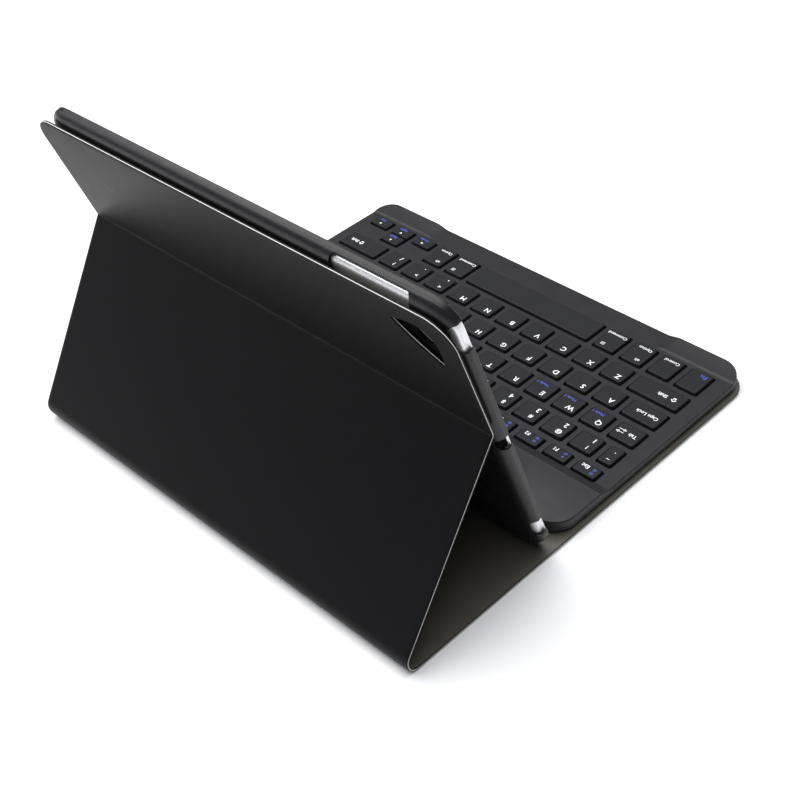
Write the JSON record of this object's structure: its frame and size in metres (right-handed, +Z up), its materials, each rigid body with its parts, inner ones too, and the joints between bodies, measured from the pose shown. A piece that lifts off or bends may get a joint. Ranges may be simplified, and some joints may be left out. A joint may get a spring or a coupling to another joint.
{
  "type": "tablet keyboard case",
  "caption": "Folding folio case standing open on a table, with a thin keyboard on its base and a tray on its leaning back that holds a tablet upright.",
  "frame": {"origin": "centre of the case's footprint, on the table it stands on", "axes": "+Z up, +Y from the person typing towards the back fold, +X to that person's right"},
  "size_m": [0.255, 0.2462, 0.1655],
  "materials": {
    "cover_skin": "fine-grained black synthetic leather, satin",
    "board": "pale grey board, seen only at the cut edges",
    "lining": "smooth dark olive-brown lining, satin",
    "tray": "black moulded plastic, satin on the back, smoother on the rounded sides",
    "keyboard_case": "dark grey moulded plastic",
    "keyboard_deck": "dark grey plastic with a fine brushed grain across the width",
    "keycap": "matt charcoal caps with white and blue legends",
    "steel": "plain sheet",
    "dome_sheet": "translucent grey silicone",
    "cell": "pouch cell wrap",
    "circuit": "green solder mask",
    "magnet": "nickel plate",
    "light": "clear light pipe",
    "tablet_metal": "bead-blasted silver, satin",
    "screen": "black glass front, screen off",
    "lens": "black lens glass"
  },
  "bodies": {
    "base": {"base_board": "board", "base_lining": "lining", "base_skin": "cover_skin", "fold_strip": "cover_skin", "kb_battery": "cell", "kb_bottom_case": "keyboard_case", "kb_charge_socket": "steel", "kb_circuit_board": "circuit", "kb_deck": "keyboard_deck", "kb_dome_sheet": "dome_sheet", "kb_light_caps": "light", "kb_light_pairing": "light", "kb_light_power": "light", "kb_magnet_left": "magnet", "kb_magnet_right": "magnet", "kb_support_plate": "steel"},
    "lower_back": {"lower_back_board": "board", "lower_back_lining": "lining", "lower_back_skin": "cover_skin"},
    "upper_back": {"tray_shell": "tray", "upper_flap_board": "board", "upper_flap_lining": "lining", "upper_flap_skin": "cover_skin"},
    "tablet": {"tablet_cells": "cell", "tablet_housing": "tablet_metal", "tablet_lens": "lens", "tablet_screen": "screen"},
    "power_switch_slider": {"kb_power_switch": "keyboard_case"},
    "key_backslash": {"key_backslash": "keycap"},
    "key_backtick": {"key_backtick": "keycap"},
    "key_caps_lock": {"key_caps_lock": "keycap"},
    "key_command_left": {"key_command_left": "keycap"},
    "key_command_right": {"key_command_right": "keycap"},
    "key_control": {"key_control": "keycap"},
    "key_delete": {"key_delete": "keycap"},
    "key_down": {"key_down": "keycap"},
    "key_esc": {"key_esc": "keycap"},
    "key_fn": {"key_fn": "keycap"},
    "key_left": {"key_left": "keycap"},
    "key_lock": {"key_lock": "keycap"},
    "key_option_left": {"key_option_left": "keycap"},
    "key_option_right": {"key_option_right": "keycap"},
    "key_return": {"key_return": "keycap"},
    "key_right": {"key_right": "keycap"},
    "key_shift_left": {"key_shift_left": "keycap"},
    "key_shift_right": {"key_shift_right": "keycap"},
    "key_space": {"key_space": "keycap"},
    "key_tab": {"key_tab": "keycap"},
    "key_up": {"key_up": "keycap"},
    "keys_asdf_row": {"keys_asdf_row": "keycap"},
    "keys_function_row": {"keys_function_row": "keycap"},
    "keys_number_row": {"keys_number_row": "keycap"},
    "keys_qwerty_row": {"keys_qwerty_row": "keycap"},
    "keys_zxcv_row": {"keys_zxcv_row": "keycap"},
    "tablet_power_button_body": {"tablet_power_button": "tablet_metal"},
    "tablet_volume_down_body": {"tablet_volume_down": "tablet_metal"},
    "tablet_volume_up_body": {"tablet_volume_up": "tablet_metal"}
  },
  "joints": [
    {"name": "stand_fold", "type": "hinge", "parent": "base", "child": "lower_back", "pos_m": [0, 0.1162, 0.0075], "axis": [-1, 0, 0], "range_deg": [0, 122.6], "deforming": ["fold_strip"]},
    {"name": "mid_crease", "type": "hinge", "parent": "lower_back", "child": "upper_back", "pos_m": [0, 0.06815, 0.0951], "axis": [-1, 0, 0], "range_deg": [-51.45, 0]},
    {"name": "tablet_tilt_out", "type": "hinge", "parent": "upper_back", "child": "tablet", "pos_m": [0, 0.02899, 0.00522], "axis": [1, 0, 0], "range_deg": [0, 30]},
    {"name": "tablet_volume_up_press", "type": "slide", "parent": "tablet", "child": "tablet_volume_up_body", "axis": [0, -0.3107, -0.9505], "range_m": [0, 0.0003], "stiffness_N_per_m": 2000},
    {"name": "tablet_volume_down_press", "type": "slide", "parent": "tablet", "child": "tablet_volume_down_body", "axis": [0, -0.3107, -0.9505], "range_m": [0, 0.0003], "stiffness_N_per_m": 2000},
    {"name": "tablet_power_press", "type": "slide", "parent": "tablet", "child": "tablet_power_button_body", "axis": [1, 0, 0], "range_m": [0, 0.0003], "stiffness_N_per_m": 2000},
    {"name": "key_backslash_press", "type": "slide", "parent": "base", "child": "key_backslash", "axis": [0, 0, -1], "range_m": [0, 0.0012], "stiffness_N_per_m": 400},
    {"name": "key_backtick_press", "type": "slide", "parent": "base", "child": "key_backtick", "axis": [0, 0, -1], "range_m": [0, 0.0012], "stiffness_N_per_m": 400},
    {"name": "key_caps_lock_press", "type": "slide", "parent": "base", "child": "key_caps_lock", "axis": [0, 0, -1], "range_m": [0, 0.0012], "stiffness_N_per_m": 400},
    {"name": "key_command_left_press", "type": "slide", "parent": "base", "child": "key_command_left", "axis": [0, 0, -1], "range_m": [0, 0.0012], "stiffness_N_per_m": 400},
    {"name": "key_command_right_press", "type": "slide", "parent": "base", "child": "key_command_right", "axis": [0, 0, -1], "range_m": [0, 0.0012], "stiffness_N_per_m": 400},
    {"name": "key_control_press", "type": "slide", "parent": "base", "child": "key_control", "axis": [0, 0, -1], "range_m": [0, 0.0012], "stiffness_N_per_m": 400},
    {"name": "key_delete_press", "type": "slide", "parent": "base", "child": "key_delete", "axis": [0, 0, -1], "range_m": [0, 0.0012], "stiffness_N_per_m": 400},
    {"name": "key_down_press", "type": "slide", "parent": "base", "child": "key_down", "axis": [0, 0, -1], "range_m": [0, 0.0012], "stiffness_N_per_m": 400},
    {"name": "key_esc_press", "type": "slide", "parent": "base", "child": "key_esc", "axis": [0, 0, -1], "range_m": [0, 0.0012], "stiffness_N_per_m": 400},
    {"name": "key_fn_press", "type": "slide", "parent": "base", "child": "key_fn", "axis": [0, 0, -1], "range_m": [0, 0.0012], "stiffness_N_per_m": 400},
    {"name": "key_left_press", "type": "slide", "parent": "base", "child": "key_left", "axis": [0, 0, -1], "range_m": [0, 0.0012], "stiffness_N_per_m": 400},
    {"name": "key_lock_press", "type": "slide", "parent": "base", "child": "key_lock", "axis": [0, 0, -1], "range_m": [0, 0.0012], "stiffness_N_per_m": 400},
    {"name": "key_option_left_press", "type": "slide", "parent": "base", "child": "key_option_left", "axis": [0, 0, -1], "range_m": [0, 0.0012], "stiffness_N_per_m": 400},
    {"name": "key_option_right_press", "type": "slide", "parent": "base", "child": "key_option_right", "axis": [0, 0, -1], "range_m": [0, 0.0012], "stiffness_N_per_m": 400},
    {"name": "key_return_press", "type": "slide", "parent": "base", "child": "key_return", "axis": [0, 0, -1], "range_m": [0, 0.0012], "stiffness_N_per_m": 400},
    {"name": "key_right_press", "type": "slide", "parent": "base", "child": "key_right", "axis": [0, 0, -1], "range_m": [0, 0.0012], "stiffness_N_per_m": 400},
    {"name": "key_shift_left_press", "type": "slide", "parent": "base", "child": "key_shift_left", "axis": [0, 0, -1], "range_m": [0, 0.0012], "stiffness_N_per_m": 400},
    {"name": "key_shift_right_press", "type": "slide", "parent": "base", "child": "key_shift_right", "axis": [0, 0, -1], "range_m": [0, 0.0012], "stiffness_N_per_m": 400},
    {"name": "key_space_press", "type": "slide", "parent": "base", "child": "key_space", "axis": [0, 0, -1], "range_m": [0, 0.0012], "stiffness_N_per_m": 400},
    {"name": "key_tab_press", "type": "slide", "parent": "base", "child": "key_tab", "axis": [0, 0, -1], "range_m": [0, 0.0012], "stiffness_N_per_m": 400},
    {"name": "key_up_press", "type": "slide", "parent": "base", "child": "key_up", "axis": [0, 0, -1], "range_m": [0, 0.0012], "stiffness_N_per_m": 400},
    {"name": "keys_asdf_row_press", "type": "slide", "parent": "base", "child": "keys_asdf_row", "axis": [0, 0, -1], "range_m": [0, 0.0012], "stiffness_N_per_m": 4400},
    {"name": "keys_function_row_press", "type": "slide", "parent": "base", "child": "keys_function_row", "axis": [0, 0, -1], "range_m": [0, 0.0012], "stiffness_N_per_m": 4800},
    {"name": "keys_number_row_press", "type": "slide", "parent": "base", "child": "keys_number_row", "axis": [0, 0, -1], "range_m": [0, 0.0012], "stiffness_N_per_m": 4800},
    {"name": "keys_qwerty_row_press", "type": "slide", "parent": "base", "child": "keys_qwerty_row", "axis": [0, 0, -1], "range_m": [0, 0.0012], "stiffness_N_per_m": 4800},
    {"name": "keys_zxcv_row_press", "type": "slide", "parent": "base", "child": "keys_zxcv_row", "axis": [0, 0, -1], "range_m": [0, 0.0012], "stiffness_N_per_m": 4000},
    {"name": "power_switch_slide", "type": "slide", "parent": "base", "child": "power_switch_slider", "axis": [0, 1, 0], "range_m": [0, 0.0024]}
  ],
  "couplings": [
    {"joint": "mid_crease", "follows": "stand_fold", "ratio": -0.41569}
  ]
}
